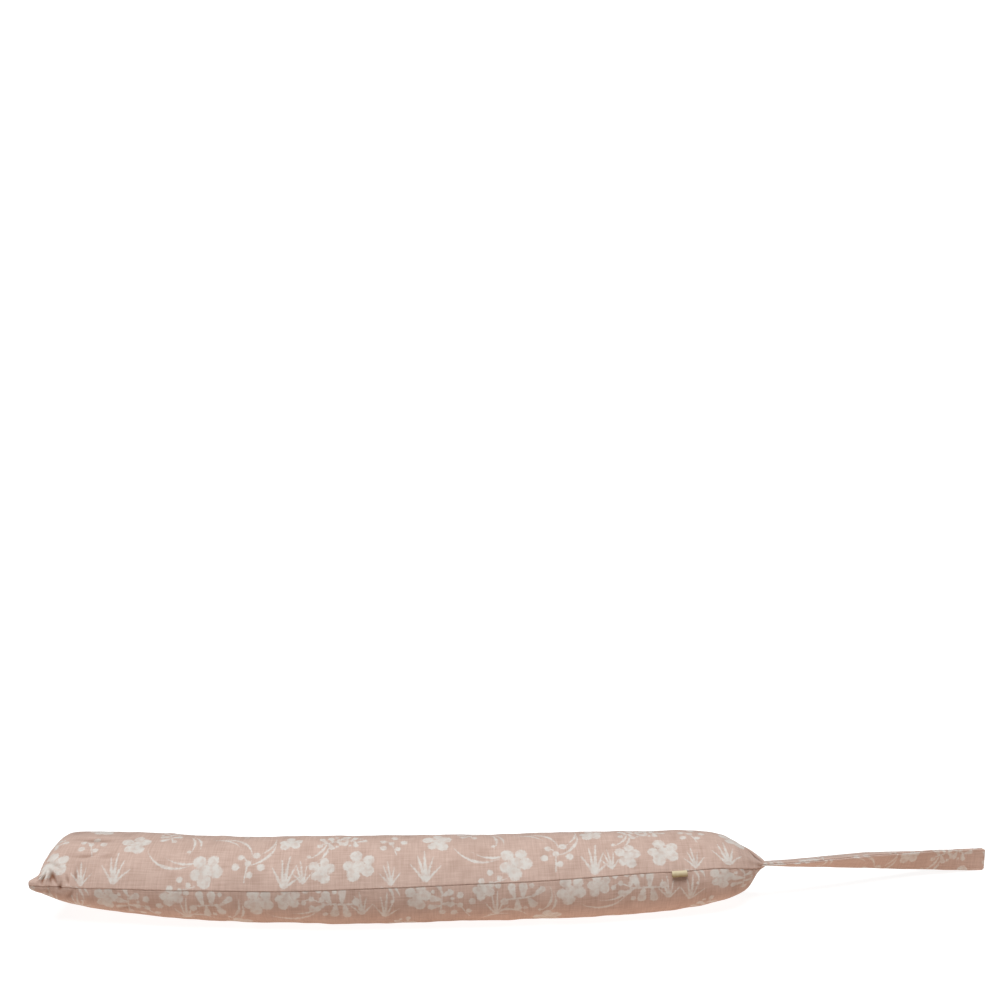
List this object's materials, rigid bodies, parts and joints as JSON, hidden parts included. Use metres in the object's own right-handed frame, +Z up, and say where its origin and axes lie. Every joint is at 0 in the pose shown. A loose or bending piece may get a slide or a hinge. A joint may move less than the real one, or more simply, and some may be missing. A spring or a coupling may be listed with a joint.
{
  "type": "draught excluder",
  "caption": "Long stuffed linen draught excluder with a lengthwise seam, a flat closed end, a gathered neck with a strap loop and a small blank tab in the seam.",
  "frame": {"origin": "centre of the bounding box in X and Y, on the surface that the part rests on", "axes": "+X along the excluder from its closed end to the strap, -Y the side with the long seam, +Z up"},
  "size_m": [1.1366, 0.1892, 0.0942],
  "materials": {
    "printed_linen": "blush slubby plain-weave linen with a pale grey-white floral print, matte",
    "cotton_tape": "cream twill tape, blank, matte"
  },
  "bodies": {
    "root": {"filled_cover": "printed_linen", "strap_loop": "printed_linen", "seam_tab": "cotton_tape"}
  },
  "joints": []
}
